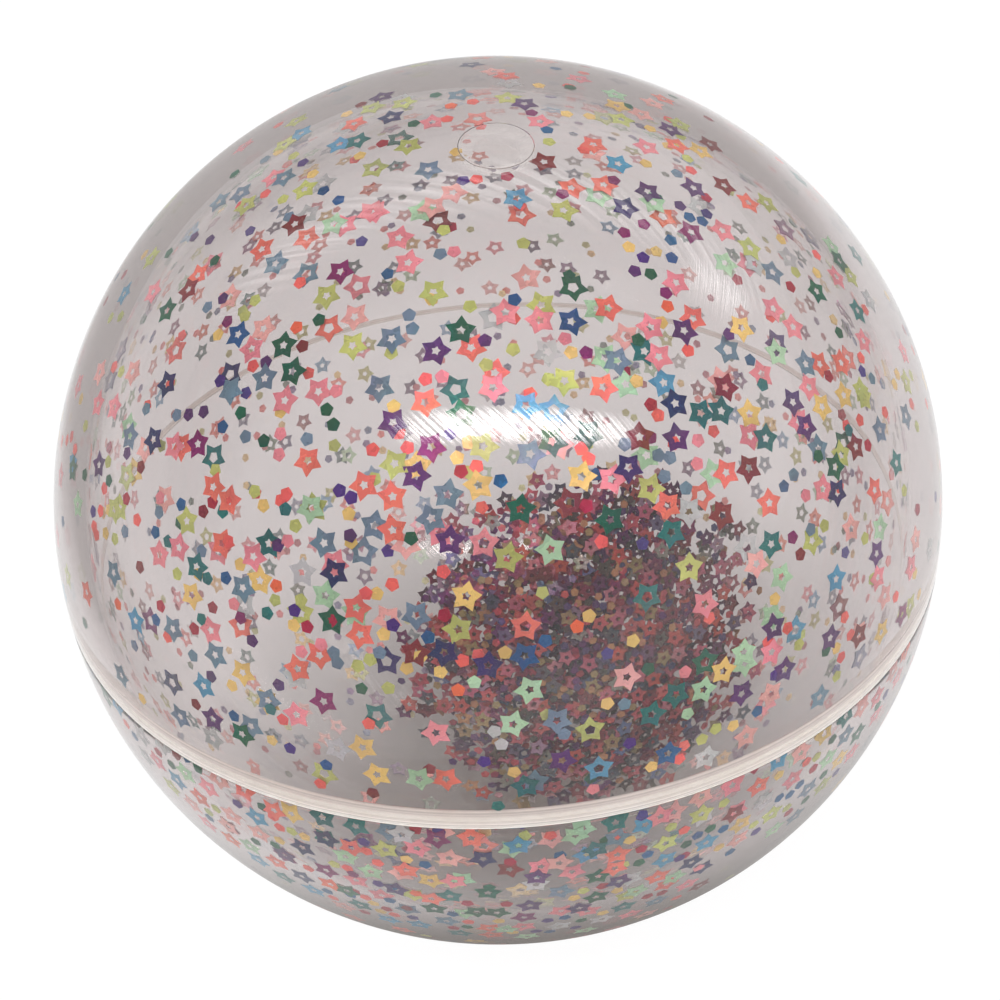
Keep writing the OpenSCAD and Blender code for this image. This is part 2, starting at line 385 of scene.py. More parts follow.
class ConfettiSizes(bpy.types.PropertyGroup):
    """Sizes and counts of the confetti that is added to the flakes of the part"""

    star_d: length_property("Star", "Size of a star from tip to tip", 2.8)
    dot_d: length_property("Dot", "Size of a dot", 1.3)
    film_t: length_property("Film", "Thickness of the confetti film", 0.06)
    touch_r: length_property("Touching layer", "Radius of the flakes in the wall's inner skin", 46.88)
    bare_w: length_property("Bare strip", "Bare strip beside the joint", 0.9)
    wall_stars: count_property("Wall stars", "Stars scattered on the wall behind", 400)
    wall_dots: count_property("Wall dots", "Dots scattered on the wall behind", 400)
    low_stars: count_property("Low stars", "Stars scattered in front, below the joint", 125)
    low_dots: count_property("Low dots", "Dots scattered in front, below the joint", 105)
    pale_stars: count_property("Pale stars", "Pale stars scattered in front", 140)
    pale_dots: count_property("Pale dots", "Pale dots scattered in front", 110)
    heap_r: length_property("Heap", "Radius on which the heap rests", 45.9)
    heap_w: length_property("Heap width", "Width of the heap", 54)
    heap_layers: count_property("Heap layers", "Layers of flakes in the heap", 7)
    heap_step: length_property("Heap step", "Height of one layer of the heap", 0.55)
    heap_tries: count_property("Heap tries", "Tries to place a flake in each layer", 700)
    heap_tilt: FloatProperty(
        name="Heap tilt", description="Steepest tilt of a flake in the heap",
        default=math.radians(14), subtype="ANGLE",
    )
    heap_stars: FloatProperty(
        name="Heap stars", description="Share of stars in the heap",
        default=0.72, min=0, max=1, subtype="FACTOR",
    )


class FilmColours(bpy.types.PropertyGroup):
    """Colours of the confetti films, as they look on a screen"""

    __annotations__ = {
        hue: FloatVectorProperty(
            name=hue.capitalize(), description=f"Colour of the {hue} film",
            default=colour, min=0, max=1, subtype="COLOR_GAMMA",
        )
        for hue, colour in FILM_COLOURS.items()
    }


# Selecting and joining

def select_only(*objects):
    """Leaves edit mode and selects just these, the first as the active one."""
    if bpy.context.object and bpy.context.object.mode != "OBJECT":
        bpy.ops.object.mode_set(mode="OBJECT")
    bpy.ops.object.select_all(action="DESELECT")
    for thing in objects:
        thing.select_set(True)
    if objects:
        bpy.context.view_layer.objects.active = objects[0]


def pick(piece, wanted):
    """Opens a piece in edit mode with just the wanted vertices selected."""
    bpy.ops.object.mode_set(mode="EDIT")
    bpy.ops.mesh.select_mode(type="VERT")
    bpy.ops.mesh.select_all(action="DESELECT")
    bpy.ops.object.mode_set(mode="OBJECT")
    for vertex in piece.data.vertices:
        vertex.select = wanted(vertex)
    bpy.ops.object.mode_set(mode="EDIT")


def joined(name, copies):
    """Joins copies into one piece at the origin."""
    base = bpy.data.objects.new(name, bpy.data.meshes.new(name))
    bpy.context.scene.collection.objects.link(base)
    select_only(base, *copies)
    bpy.ops.object.join()
    return base


def give(piece, finish, body):
    """Gives a piece its finish and its body."""
    piece.data.materials.clear()
    piece.data.materials.append(finish)
    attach(piece, body)


# Turned pieces

def arc(radius, start_z, end_z, steps):
    """Points of a circle about the origin from one height to another, beside the axis."""
    first, last = math.asin(start_z / radius), math.asin(end_z / radius)
    angles = [first + (last - first) * i / steps for i in range(steps + 1)]
    return [Vector((radius * math.cos(a), 0, radius * math.sin(a))) for a in angles]


def corner(x, z):
    """A point of an outline beside the axis."""
    return Vector((x, 0, z))


def turned(name, outline, rounded, turn, sizes):
    """Draws an outline beside the axis by extruding a point, rounds its corners and spins it."""
    select_only()
    bpy.ops.mesh.primitive_plane_add(size=MM, location=(0, 0, 0))
    piece = bpy.context.object
    piece.name = piece.data.name = name
    bpy.ops.object.mode_set(mode="EDIT")
    bpy.ops.mesh.select_all(action="SELECT")
    bpy.ops.mesh.merge(type="CENTER")
    bpy.ops.transform.translate(value=outline[0])
    for here, there in zip(outline, outline[1:]):
        bpy.ops.mesh.extrude_region_move(TRANSFORM_OT_translate={"value": there - here})
    bpy.ops.object.mode_set(mode="OBJECT")
    if outline[-1].x > 0:
        pick(piece, lambda vertex: vertex.index in (0, len(outline) - 1))
        bpy.ops.mesh.edge_face_add()
    if rounded:
        pick(piece, lambda vertex: any((vertex.co - point).length < SAME_POINT for point in rounded))
        bpy.ops.mesh.bevel(offset=sizes.edge_r, offset_type="OFFSET", segments=3, affect="VERTICES")
    bpy.ops.object.mode_set(mode="EDIT")
    bpy.ops.mesh.select_all(action="SELECT")
    bpy.ops.mesh.spin(steps=sizes.steps, angle=FULL_TURN, center=(0, 0, 0), axis=(0, 0, 1))
    bpy.ops.mesh.select_all(action="SELECT")
    bpy.ops.mesh.remove_doubles(threshold=SAME_POINT)
    bpy.ops.mesh.delete_loose()
    bpy.ops.mesh.select_all(action="SELECT")
    bpy.ops.mesh.normals_make_consistent(inside=False)
    bpy.ops.object.mode_set(mode="OBJECT")
    piece.matrix_world = turn
    bpy.ops.object.transform_apply(location=True, rotation=True, scale=True)
    bpy.ops.object.shade_smooth_by_angle(angle=SMOOTH_ANGLE)
    return piece


def cut_out(piece, cutter):
    """Takes the cutter's shape out of a piece."""
    select_only(piece)
    cut = piece.modifiers.new("cut", "BOOLEAN")
    cut.object = cutter
    cut.solver = "EXACT"
    bpy.ops.object.modifier_apply(modifier=cut.name)
    bpy.data.objects.remove(cutter)
    bpy.ops.object.shade_smooth_by_angle(angle=SMOOTH_ANGLE)


def mark_fused_faces(piece, sizes):
    """Marks the faces between the outer and the inner wall, at the joint or the plug, as fused."""
    marks = piece.data.attributes.new("fused", "FLOAT", "FACE")
    for face, mark in zip(piece.data.polygons, marks.data):
        depth = sizes.ball_d / 2 - face.center.length
        mark.value = sizes.weld_t < depth < sizes.wall_t - sizes.weld_t


# Finishes

def new_finish(name):
    """An empty node material."""
    finish = bpy.data.materials.new(name)
    finish.use_nodes = True
    finish.node_tree.nodes.clear()
    return finish, finish.node_tree


def node(tree, kind, inputs=None, **settings):
    """Adds a node. An input that is a socket is linked, any other is set on the socket itself."""
    added = tree.nodes.new("ShaderNode" + kind)
    for key, value in settings.items():
        setattr(added, key, value)
    for key, value in (inputs or {}).items():
        if isinstance(value, bpy.types.NodeSocket):
            tree.links.new(value, added.inputs[key])
        else:
            added.inputs[key].default_value = value
    return added


def ramp(tree, factor, stops):
    """A colour ramp of grey stops, as (place, level) pairs."""
    added = node(tree, "ValToRGB", {"Fac": factor})
    marks = added.color_ramp.elements
    while len(marks) < len(stops):
        marks.new(0.5)
    for mark, (place, level) in zip(marks, stops):
        mark.position = place
        mark.color = (level, level, level, 1)
    return added.outputs["Color"]


def object_noise(tree, scale, detail=2.0):
    """Noise that is fixed to the piece."""
    place = node(tree, "TexCoord").outputs["Object"]
    return node(tree, "TexNoise", {"Vector": place, "Scale": scale, "Detail": detail}).outputs["Fac"]


def haze(tree, thin, thick):
    """Fused plastic: light passes straight on but for a haze, in fine lines round the ball."""
    sizes = bpy.context.scene.ball_sizes
    place = node(tree, "TexCoord").outputs["Object"]
    turn = sizes.moulding_turn().inverted().to_euler()
    upright = node(tree, "Mapping", {"Vector": place, "Rotation": turn}).outputs["Vector"]
    split = node(tree, "SeparateXYZ", {"Vector": upright})
    flat = node(tree, "CombineXYZ", {
        "X": split.outputs["X"], "Y": split.outputs["Y"],
    }).outputs["Vector"]
    from_axis = node(tree, "VectorMath", {0: flat}, operation="LENGTH").outputs["Value"]
    lines = node(tree, "TexNoise", {"W": from_axis, "Scale": 2600.0, "Detail": 2.0},
                 noise_dimensions="1D").outputs["Fac"]
    veil = ramp(tree, lines, [(0.38, thin), (0.62, thick)])
    cloud = object_noise(tree, 220, 3)
    tone = node(tree, "Mix", {"Factor": cloud, 6: (0.90, 0.86, 0.79, 1), 7: (0.98, 0.96, 0.92, 1)},
                data_type="RGBA").outputs[2]
    return node(tree, "BsdfPrincipled", {
        "Base Color": tone, "Roughness": 0.5, "IOR": 1.2, "Alpha": veil,
    }).outputs["BSDF"]


def clear_plastic(name, transmission, kept, density, thick):
    """Clear moulded plastic with faint smudges. It dims light in its depth and lets lamps through."""
    finish, tree = new_finish(name)
    smudges = ramp(tree, object_noise(tree, 60, 5), [(0.45, 0.008), (0.8, 0.03)])
    waves = node(tree, "Bump", {
        "Strength": 0.05, "Distance": 0.2 * MM, "Height": object_noise(tree, 90, 1),
    }).outputs["Normal"]
    plastic = node(tree, "BsdfPrincipled", {
        "Base Color": (0.97, 0.97, 0.97, 1), "Roughness": smudges, "IOR": WALL_BENDS,
        "Transmission Weight": transmission, "Normal": waves,
    }).outputs["BSDF"]
    lets_through = node(tree, "BsdfTransparent", {"Color": (0.96, 0.96, 0.96, 1)}).outputs["BSDF"]
    light = node(tree, "LightPath")
    passes = node(tree, "Math", {
        0: light.outputs["Is Shadow Ray"], 1: light.outputs["Is Diffuse Ray"],
    }, operation="MAXIMUM").outputs["Value"]
    skin = node(tree, "MixShader", {"Fac": passes, 1: plastic, 2: lets_through}).outputs["Shader"]
    fused = node(tree, "Attribute", attribute_name="fused").outputs["Fac"]
    veil = haze(tree, 0.0, thick)
    mixed = node(tree, "MixShader", {"Fac": fused, 1: skin, 2: veil}).outputs["Shader"]
    depth = node(tree, "VolumeAbsorption", {"Color": (*kept, 1), "Density": density}).outputs["Volume"]
    node(tree, "OutputMaterial", {"Surface": mixed, "Volume": depth})
    return finish


def milky(name, thin, thick):
    """The weld: plastic that is all haze."""
    finish, tree = new_finish(name)
    node(tree, "OutputMaterial", {"Surface": haze(tree, thin, thick)})
    return finish


def towards(colour, goal, share):
    """A colour that has gone a share of the way to another."""
    return [(1 - share) * c + share * g for c, g in zip(colour, goal)]


def film_finish(name, hue, loose):
    """Pearly film. Where it is loose in the heap it is darkened and browned as painted shade. On the
    wall its inner side is paled as painted light, so that flakes on the far wall look lit through the
    ball.
    """
    finish, tree = new_finish(name)
    colour = shown_colour(getattr(bpy.context.scene.film_colours, hue))
    if loose:
        # Painted shade: loose films in the heap are darkened and browned, as the heap lies in shade
        # inside the ball
        heap_shaded = towards(colour, HEAP_SHADE_COLOUR, HEAP_SHADE_SHARE)
        colour = [left * c for left, c in zip(HEAP_SHADE_LEFT, heap_shaded)]
    mottle = ramp(tree, object_noise(tree, 260, 2), [(0.3, 0.72), (0.7, 1.12)])
    base = node(tree, "Mix", {"Factor": 1.0, 6: (*colour, 1), 7: mottle}, data_type="RGBA",
                blend_type="MULTIPLY").outputs[2]
    if not loose:
        # Painted light: the side facing the ball's middle is paled, so flakes on the far wall look lit
        # through the ball
        spot = node(tree, "TexCoord")
        outward = node(tree, "VectorMath", {0: spot.outputs["Object"], 1: spot.outputs["Normal"]},
                       operation="DOT_PRODUCT").outputs["Value"]
        inner = node(tree, "Math", {0: outward, 1: 0.0}, operation="LESS_THAN").outputs["Value"]
        pale = towards(colour, FAR_SIDE_LIGHT_COLOUR, FAR_SIDE_LIGHT_SHARE)
        base = node(tree, "Mix", {"Factor": inner, 6: base, 7: (*pale, 1)}, data_type="RGBA").outputs[2]
    scuffs = ramp(tree, object_noise(tree, 900, 2), [(0.3, 0.18), (0.7, 0.38)])
    layer = node(tree, "MapRange", {
        "Value": object_noise(tree, 300, 1), "To Min": 280.0, "To Max": 620.0,
    }).outputs["Result"]
    film = node(tree, "BsdfPrincipled", {
        "Base Color": base, "Roughness": scuffs, "Metallic": 0.3, "IOR": 1.6,
        "Coat Weight": 0.3, "Coat Roughness": 0.15,
        "Thin Film Thickness": layer, "Thin Film IOR": 1.4,
    }).outputs["BSDF"]
    node(tree, "OutputMaterial", {"Surface": film})
    return finish


def film(hue, loose):
    """The finish of a film, made once."""
    name = f"film_{hue}_" + ("loose" if loose else "wall")
    return bpy.data.materials.get(name) or film_finish(name, hue, loose)


# Flakes

def notched_disc(name, size, notch_share):
    """A flat disc with every other corner drawn in, left open in edit mode."""
    bpy.ops.mesh.primitive_circle_add(vertices=2 * STAR_TIPS, radius=size / 2, fill_type="NGON")
    disc = bpy.context.object
    disc.name = name
    pick(disc, lambda vertex: vertex.index % 2 == 1)
    bpy.ops.transform.resize(value=(notch_share, notch_share, 1))
    return disc


def model_star(sizes):
    """One punched star: a notched disc with a star-shaped hole and the film's thickness."""
    select_only()
    star = notched_disc("star_pattern", sizes.star_d, STAR_NOTCH_SHARE)
    bpy.ops.mesh.select_all(action="SELECT")
    bpy.ops.mesh.inset(thickness=sizes.star_d * STAR_RIM_SHARE)
    bpy.ops.mesh.delete(type="ONLY_FACE")
    bpy.ops.object.mode_set(mode="OBJECT")
    return with_film_thickness(star, sizes)


def model_dot(sizes):
    """One dot: a stubby five-cornered piece with the film's thickness."""
    select_only()
    dot = notched_disc("dot_pattern", sizes.dot_d, DOT_NOTCH_SHARE)
    bpy.ops.object.mode_set(mode="OBJECT")
    return with_film_thickness(dot, sizes)


def with_film_thickness(flake, sizes):
    """Gives a flat flake the thickness of the film."""
    select_only(flake)
    thicken = flake.modifiers.new("film", "SOLIDIFY")
    thicken.thickness = sizes.film_t
    thicken.offset = -1
    bpy.ops.object.modifier_apply(modifier=thicken.name)
    return flake


def copy_at(pattern, direction, radius, chance, steepest=0.0):
    """A copy of a flake at a distance from the ball's centre, spun and tilted by chance."""
    flake = bpy.data.objects.new(pattern.name, pattern.data.copy())
    bpy.context.scene.collection.objects.link(flake)
    turn = direction.to_track_quat("Z", "Y").to_matrix().to_4x4()
    spin, lean = chance.uniform(0, FULL_TURN), chance.uniform(0, FULL_TURN)
    tilt = chance.uniform(0, steepest)
    flake.matrix_world = (
        Matrix.Translation(direction * radius) @ turn
        @ Matrix.Rotation(lean, 4, "Z") @ Matrix.Rotation(tilt, 4, "X") @ Matrix.Rotation(spin, 4, "Z")
    )
    return flake


def seen_place(x, y):
    """Follows the light from a pixel to the wall, and gives the place there as front_way takes it."""
    right, up = x - PHOTO_MIDDLE[0], PHOTO_MIDDLE[1] - y
    aside = math.hypot(right, up)
    slant = math.atan2(aside, PHOTO_FOCAL)
    miss = CAMERA_DISTANCE * math.sin(slant)
    bent_miss = miss / WALL_BENDS
    turn = math.asin(miss / PHOTO_OUTER_R) - slant
    turn += math.asin(bent_miss / PHOTO_LAYER_R) - math.asin(bent_miss / PHOTO_OUTER_R)
    share = PHOTO_LAYER_R * math.sin(turn) / aside / MM
    return round(right * share, 1), round(up * share, 1)


def front_way(right, up, sizes):
    """The direction of a place in front, given in millimetres right of and above the ball's middle."""
    across = (VIEW_RIGHT * right + VIEW_UP * up) * MM
    return (across + VIEW_WAY * math.sqrt(sizes.touch_r**2 - across.length_squared)).normalized()


def any_direction(chance):
    """A direction by chance, evenly over all of them."""
    height, around = chance.uniform(-1, 1), chance.uniform(0, FULL_TURN)
    across = math.sqrt(1 - height * height)
    return Vector((across * math.cos(around), across * math.sin(around), height))


def clears(direction, radius, size, taken):
    """True where a flake of this size keeps clear of those already placed on the same layer."""
    return all((direction * radius - place).length > (size + other) / 2 for place, other in taken)


class ClearHalves(bpy.types.Operator):
    """Turns the two clear halves of the ball, with the stepped joint and the hole for the plug"""

    bl_idname = "confetti_ball.clear_halves"
    bl_label = "Clear halves"

    def execute(self, context):
        s = context.scene.ball_sizes
        turn = s.moulding_turn()
        outer, inner = s.ball_d / 2, s.ball_d / 2 - s.wall_t
        middle, film_half = outer - s.wall_t / 2, s.weld_t / 2
        top, low, step = s.tongue_h + film_half, s.tongue_h - film_half, s.steps // 2

        upper = (
            arc(outer, film_half, outer, step)
            + arc(inner, inner, top, step)
            + [corner(middle + film_half, top), corner(middle + film_half, film_half)]
        )
        upper_half = turned("clear_upper_half", upper, [upper[0]], turn, s)
        hole, mouth = s.plug_d / 2 + s.plug_gap, s.plug_d / 2 + s.plug_flange_w + s.plug_gap
        seat = outer - s.plug_head_t
        drill = [
            corner(0, inner - s.wall_t), corner(hole, inner - s.wall_t), corner(hole, seat),
            corner(mouth, seat), corner(mouth, outer + s.wall_t), corner(0, outer + s.wall_t),
        ]
        cut_out(upper_half, turned("plug_hole", drill, [], s.plug_axis_turn(), s))

        lower = (
            arc(outer, -film_half, -outer, step)
            + arc(inner, -inner, low, step)
            + [corner(middle - film_half, low), corner(middle - film_half, -film_half)]
        )
        lower_half = turned("clear_lower_half", lower, [lower[0]], turn, s)

        wall = clear_plastic(
            "clear_wall", transmission=0.985, kept=(0.52, 0.40, 0.39), density=106.0, thick=0.06
        )
        for piece, stands_for in ((upper_half, "upper_half"), (lower_half, "lower_half")):
            give(piece, wall, "ball")
            mark_fused_faces(piece, s)
            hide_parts(stands_for)
        return {"FINISHED"}


class WeldSeam(bpy.types.Operator):
    """Turns the milky weld between the halves"""

    bl_idname = "confetti_ball.weld_seam"
    bl_label = "Weld seam"

    def execute(self, context):
        s = context.scene.ball_sizes
        outer, inner = s.ball_d / 2 - HAIR_GAP, s.ball_d / 2 - s.wall_t
        middle, half = s.ball_d / 2 - s.wall_t / 2, s.weld_t / 2 - HAIR_GAP
        top = s.tongue_h + half
        outline = [
            corner(outer, -half), corner(outer, half),
            corner(middle + half, half), corner(middle + half, top),
            corner(inner, top), corner(inner, s.tongue_h - half),
            corner(middle - half, s.tongue_h - half), corner(middle - half, -half),
        ]
        piece = turned("milky_weld_seam", outline, [], s.moulding_turn(), s)
        give(piece, milky("milky_weld", thin=0.5, thick=0.9), "ball")
        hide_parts("weld_ring")
        return {"FINISHED"}


class FillPlug(bpy.types.Operator):
    """Turns the clear stepped plug in the upper half, a little off the moulding axis"""

    bl_idname = "confetti_ball.fill_plug"
    bl_label = "Filling plug"

    def execute(self, context):
        s = context.scene.ball_sizes
        outer, inner = s.ball_d / 2, s.ball_d / 2 - s.wall_t
        shank, head, seat = s.plug_d / 2, s.plug_d / 2 + s.plug_flange_w, outer - s.plug_head_t
        step = s.steps // 12
        outline = (
            arc(outer, outer, math.sqrt(outer**2 - head**2), step)
            + [corner(head, seat + HAIR_GAP), corner(shank, seat + HAIR_GAP)]
            + arc(inner, math.sqrt(inner**2 - shank**2), inner, step)
        )
        piece = turned("clear_fill_plug", outline, [outline[step]], s.plug_axis_turn(), s)
        finish = clear_plastic(
            "clear_plug", transmission=0.97, kept=(0.52, 0.40, 0.36), density=110.0, thick=0.08
        )
        give(piece, finish, "ball")
        mark_fused_faces(piece, s)
        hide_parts("fill_plug")
        return {"FINISHED"}


class FilmFinish(bpy.types.Operator):
    """Gives the part's own flakes their pearly films"""

    bl_idname = "confetti_ball.film_finish"
    bl_label = "Film finish"

    def execute(self, context):
        for name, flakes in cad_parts.items():
            if "_stars_" in name or "_dots_" in name:
                hue = name.rsplit("_", 1)[1]
                flakes.data.materials.clear()
                flakes.data.materials.append(film(hue, name.startswith("heap")))
        return {"FINISHED"}


class WallConfetti(bpy.types.Operator):
    """Adds flakes that cling to the wall, some laid out in front and the rest scattered all round"""

    bl_idname = "confetti_ball.wall_confetti"
    bl_label = "Wall confetti"

    def execute(self, context):
        s, ball = context.scene.confetti_sizes, context.scene.ball_sizes
        axis, plug = ball.moulding_turn() @ UP, ball.plug_axis_turn() @ UP
        heap_way = front_way(*HEAP_SHOWS, s)
        chance, taken = random.Random(WALL_SEED), []

        def behind(way):
            return way.dot(VIEW_WAY) < FRONT_EDGE

        def below(way):
            return not behind(way) and way.dot(axis) < 0

        def above(way):
            beside_heap = (way - heap_way).length * s.touch_r > s.heap_w / 4
            return beside_heap and not behind(way) and way.dot(axis) > 0

        kinds = (
            ("stars", model_star(s), s.star_d, FRONT_STARS, STAR_HUES, (
                (s.wall_stars, behind, STAR_SHARES), (s.low_stars, below, STAR_SHARES),
                (s.pale_stars, above, PALE_STAR_SHARES),
            )),
            ("dots", model_dot(s), s.dot_d, FRONT_DOTS, DOT_HUES, (
                (s.wall_dots, behind, DOT_SHARES), (s.low_dots, below, DOT_SHARES),
                (s.pale_dots, above, PALE_DOT_SHARES),
            )),
        )
        for kind, pattern, size, front, hues, lots in kinds:
            copies = {hue: [] for hue in sorted({*front, *hues})}
            for hue, places in front.items():
                for x, y in places:
                    way = front_way(*seen_place(x, y), s)
                    copies[hue].append(copy_at(pattern, way, s.touch_r, chance))
            radius, reach = s.touch_r - SCATTER_DEPTH * s.film_t, size / 2 + s.bare_w
            for count, wanted, shares in lots:
                placed = 0
                while placed < count:
                    way = any_direction(chance)
                    height, beside_plug = way.dot(axis) * radius, (way - plug).length * radius
                    at_joint = -reach < height < ball.tongue_h + reach
                    bare = at_joint or beside_plug < ball.plug_d / 2 + reach
                    clump = noise.noise(way * CLUMP_SCALE) + CLUMP_LEVEL
                    if bare or not wanted(way) or chance.random() > clump:
                        continue
                    if not clears(way, radius, size, taken):
                        continue
                    taken.append((way * radius, size))
                    hue = chance.choices(hues, shares)[0]
                    copies[hue].append(copy_at(pattern, way, radius, chance))
                    placed += 1
            for hue, flakes in copies.items():
                piece = joined(f"more_wall_{kind}_{hue}", flakes)
                give(piece, film(hue, False), "ball")
            bpy.data.objects.remove(pattern)
        return {"FINISHED"}


class HeapConfetti(bpy.types.Operator):
    """Adds flakes to the loose heap, in layers that close in towards its top"""

    bl_idname = "confetti_ball.heap_confetti"
    bl_label = "Heap confetti"

    def execute(self, context):
        s = context.scene.confetti_sizes
        chance = random.Random(HEAP_SEED)
        star, dot = model_star(s), model_dot(s)
        copies = {}
        for layer in range(s.heap_layers):
            radius = s.heap_r - (layer + 0.5) * s.heap_step
            widest = s.heap_w / 2 * math.sqrt(1 - layer / s.heap_layers)
            taken = []
            for _ in range(s.heap_tries):
                around = chance.uniform(0, FULL_TURN)
                stray = noise.noise((2 * math.cos(around), 2 * math.sin(around), layer / 3))
                across = widest * (1 + HEAP_EDGE_SHARE * stray) * math.sqrt(chance.random())
                way = Vector((
                    across * math.cos(around), across * math.sin(around),
                    -math.sqrt(radius**2 - across**2),
                )).normalized()
                is_star = chance.random() < s.heap_stars
                room = HEAP_OVERLAP_SHARE * (s.star_d if is_star else s.dot_d)
                if not clears(way, radius, room, taken):
                    continue
                taken.append((way * radius, room))
                kind, hues, shares = (
                    ("stars", STAR_HUES, HEAP_STAR_SHARES) if is_star
                    else ("dots", DOT_HUES, DOT_SHARES)
                )
                flake = copy_at(star if is_star else dot, way, radius, chance, s.heap_tilt)
                copies.setdefault((kind, chance.choices(hues, shares)[0]), []).append(flake)
        for (kind, hue), flakes in sorted(copies.items()):
            piece = joined(f"more_heap_{kind}_{hue}", flakes)
            give(piece, film(hue, True), "loose_confetti")
        bpy.data.objects.remove(star)
        bpy.data.objects.remove(dot)
        return {"FINISHED"}


# The stage

def facing(way, right, distance):
    """Placed out along a direction and facing back to the ball, with its X to the right."""
    up = way.cross(right).normalized()
    right = up.cross(way).normalized()
    turn = Matrix((right, up, way)).transposed().to_4x4()
    return Matrix.Translation(way * distance) @ turn


def add_lamp(name, way, size_x, size_y, distance, radiance):
    """A soft rectangular lamp with a ragged glow, out along a direction of the photo's view."""
    lamp = bpy.data.lights.new(name, "AREA")
    lamp.shape = "RECTANGLE"
    lamp.size, lamp.size_y = size_x, size_y
    lamp.energy = radiance * math.pi * size_x * size_y
    lamp.use_nodes = True
    tree = lamp.node_tree
    tree.nodes.clear()
    spot = node(tree, "NewGeometry").outputs["Parametric"]
    across = node(tree, "SeparateXYZ", {"Vector": spot})
    ends = ramp(tree, across.outputs["X"], [(0.0, 0.0), (0.25, 1.0), (0.75, 1.0), (1.0, 0.0)])
    edges = ramp(tree, across.outputs["Y"], [(0.0, 0.0), (0.45, 1.0), (0.55, 1.0), (1.0, 0.0)])
    slant = node(tree, "VectorMath", {0: spot, 1: (55, 8, 0)}, operation="DOT_PRODUCT").outputs["Value"]
    lines = node(tree, "TexNoise", {"W": slant, "Scale": 1.0, "Detail": 1.0},
                 noise_dimensions="1D").outputs["Fac"]
    ragged = ramp(tree, lines, [(0.42, 0.04), (0.62, 1.0)])
    glow = node(tree, "Math", {0: ends, 1: edges}, operation="MULTIPLY").outputs["Value"]
    glow = node(tree, "Math", {0: glow, 1: ragged}, operation="MULTIPLY").outputs["Value"]
    shine = node(tree, "Emission", {"Strength": glow}).outputs["Emission"]
    node(tree, "OutputLight", {"Surface": shine})
    holder = bpy.data.objects.new(name, lamp)
    bpy.context.scene.collection.objects.link(holder)
    aim = VIEW_RIGHT * way[0] + VIEW_UP * way[1] + VIEW_WAY * way[2]
    holder.matrix_world = facing(aim.normalized(), VIEW_RIGHT, distance)


def seen_directly(tree):
    """1 for rays from the camera and for what shiny or clear pieces show."""
    light = node(tree, "LightPath")
    first = node(tree, "Math", {
        0: light.outputs["Is Camera Ray"], 1: light.outputs["Is Glossy Ray"],
    }, operation="MAXIMUM").outputs["Value"]
    return node(tree, "Math", {
        0: first, 1: light.outputs["Is Transmission Ray"],
    }, operation="MAXIMUM").outputs["Value"]


def floor_finish():
    """White to the camera but for the ball's shadow, shaded where it shows through the ball."""
    finish, tree = new_finish("pale_floor")
    paper = node(tree, "BsdfDiffuse", {"Color": (0.8, 0.8, 0.8, 1)}).outputs["BSDF"]
    white = node(tree, "Emission", {"Color": (1, 1, 1, 1), "Strength": FLOOR_WHITE}).outputs["Emission"]
    plain = node(tree, "MixShader", {"Fac": FLOOR_SHADOW_SHARE, 1: white, 2: paper}).outputs["Shader"]
    place = node(tree, "Mapping", {
        "Vector": node(tree, "TexCoord").outputs["Object"], "Location": SHADE_OFFSET,
    }).outputs["Vector"]
    away = node(tree, "VectorMath", {0: place}, operation="LENGTH").outputs["Value"]
    level = ramp(tree, away, SHADE_STOPS)
    tone = node(tree, "Mix", {"Factor": level, 6: SHADE_COLOUR, 7: (1, 1, 1, 1)},
                data_type="RGBA").outputs[2]
    shade = node(tree, "Emission", {"Color": tone, "Strength": 1.0}).outputs["Emission"]
    camera_ray = node(tree, "LightPath").outputs["Is Camera Ray"]
    shown = node(tree, "MixShader", {"Fac": camera_ray, 1: shade, 2: plain}).outputs["Shader"]
    mixed = node(tree, "MixShader", {"Fac": seen_directly(tree), 1: paper, 2: shown}).outputs["Shader"]
    node(tree, "OutputMaterial", {"Surface": mixed})
    return finish


def white_surroundings():
    """White to the camera, a soft light on dull pieces, and a room that is dim above on shiny ones."""
    world = bpy.data.worlds.new("white_surroundings")
    world.use_nodes = True
    tree = world.node_tree
    tree.nodes.clear()
    place = node(tree, "TexCoord").outputs["Generated"]
    height = node(tree, "SeparateXYZ", {"Vector": place}).outputs["Z"]
    plain = (1, 1, 1, 1)
    soft = node(tree, "Background", {"Color": plain, "Strength": SOFT_LIGHT}).outputs["Background"]
    dim_above = ramp(tree, height, ROOM_STOPS)
    room = node(tree, "Background", {"Color": dim_above, "Strength": 1.0}).outputs["Background"]
    white = node(tree, "Background", {"Color": plain, "Strength": 1.0}).outputs["Background"]
    lit = node(tree, "MixShader", {"Fac": seen_directly(tree), 1: soft, 2: room}).outputs["Shader"]
    camera_ray = node(tree, "LightPath").outputs["Is Camera Ray"]
    mixed = node(tree, "MixShader", {"Fac": camera_ray, 1: lit, 2: white}).outputs["Shader"]
    node(tree, "OutputWorld", {"Surface": mixed})
    return world


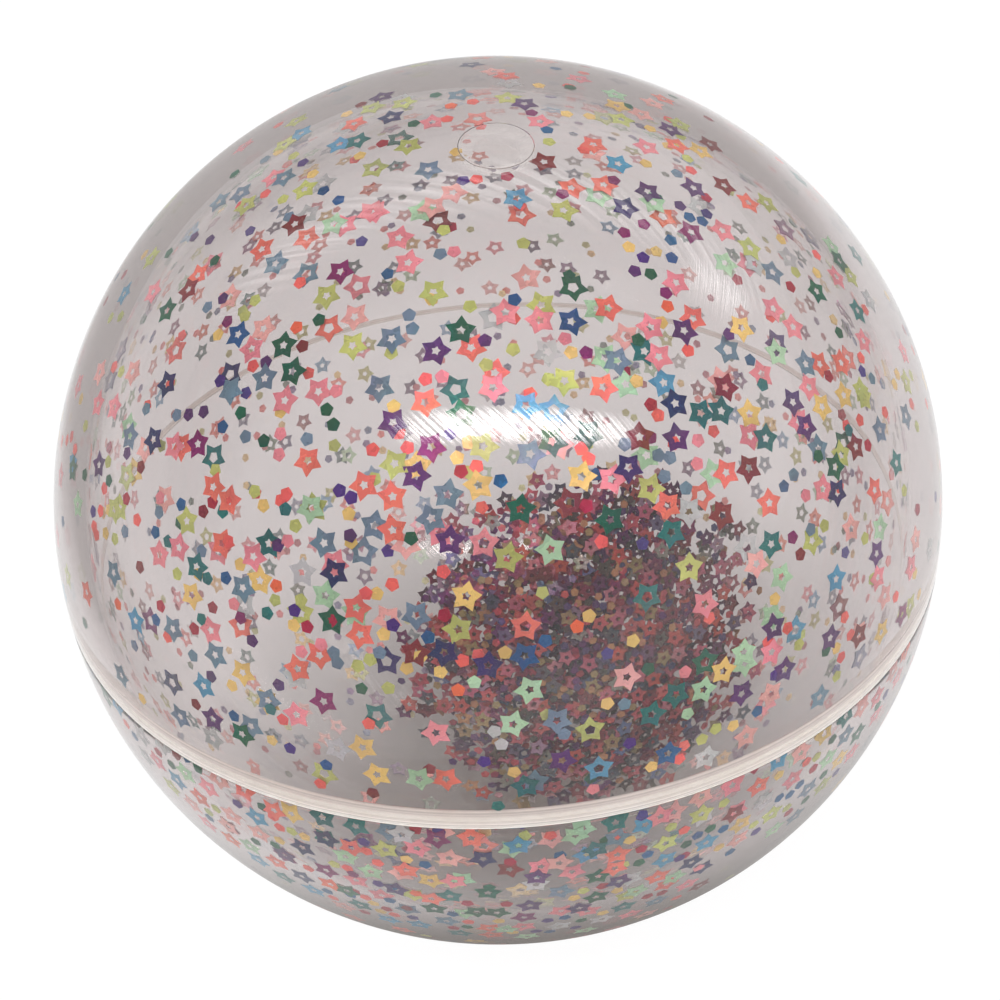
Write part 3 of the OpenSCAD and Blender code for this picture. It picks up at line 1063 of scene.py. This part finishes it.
class Stage(bpy.types.Operator):
    """Sets the pale floor, the soft lamps, the white surroundings and the camera"""

    bl_idname = "confetti_ball.stage"
    bl_label = "Stage"

    def execute(self, context):
        scene = context.scene
        scene.view_settings.view_transform = "Standard"
        scene.cycles.use_denoising = True
        scene.cycles.max_bounces = 24
        scene.cycles.transmission_bounces = 20
        scene.cycles.glossy_bounces = 10
        scene.cycles.diffuse_bounces = 3
        scene.cycles.transparent_max_bounces = 32
        scene.cycles.caustics_refractive = False
        scene.cycles.caustics_reflective = False

        select_only()
        bpy.ops.mesh.primitive_circle_add(
            vertices=64, radius=FLOOR_RADIUS, fill_type="NGON", location=(0, 0, cad_low.z)
        )
        floor = context.object
        floor.name = "pale_floor"
        floor.data.materials.append(floor_finish())

        scene.world = white_surroundings()
        for name, lamp in LAMPS.items():
            add_lamp(name, *lamp)

        camera = bpy.data.objects.new("photo_camera", bpy.data.cameras.new("photo_camera"))
        scene.collection.objects.link(camera)
        camera.data.lens = CAMERA_LENS
        camera.data.shift_x = CAMERA_SHIFT
        camera.data.clip_start, camera.data.clip_end = 0.01, 20
        camera.matrix_world = facing(VIEW_WAY, VIEW_RIGHT, CAMERA_DISTANCE)
        scene.camera = camera
        return {"FINISHED"}


class BallPanel(bpy.types.Panel):
    """Lists the steps in the order in which the ball is made"""

    bl_idname = "VIEW3D_PT_confetti_ball"
    bl_label = "Confetti Ball"
    bl_space_type = "VIEW_3D"
    bl_region_type = "UI"
    bl_category = "Confetti Ball"

    def draw(self, context):
        for step in STEPS:
            self.layout.operator(step.bl_idname)


STEPS = (Stage, ClearHalves, WeldSeam, FillPlug, FilmFinish, WallConfetti, HeapConfetti)
CLASSES = (BallSizes, ConfettiSizes, FilmColours, *STEPS, BallPanel)


def register():
    for cls in CLASSES:
        bpy.utils.register_class(cls)
    bpy.types.Scene.ball_sizes = PointerProperty(type=BallSizes)
    bpy.types.Scene.confetti_sizes = PointerProperty(type=ConfettiSizes)
    bpy.types.Scene.film_colours = PointerProperty(type=FilmColours)


def unregister():
    del bpy.types.Scene.film_colours
    del bpy.types.Scene.confetti_sizes
    del bpy.types.Scene.ball_sizes
    for cls in reversed(CLASSES):
        bpy.utils.unregister_class(cls)


def main():
    register()
    bpy.ops.confetti_ball.stage()
    bpy.ops.confetti_ball.clear_halves()
    bpy.ops.confetti_ball.weld_seam()
    bpy.ops.confetti_ball.fill_plug()
    bpy.ops.confetti_ball.film_finish()
    bpy.ops.confetti_ball.wall_confetti()
    bpy.ops.confetti_ball.heap_confetti()


if __name__ == "__main__":
    main()
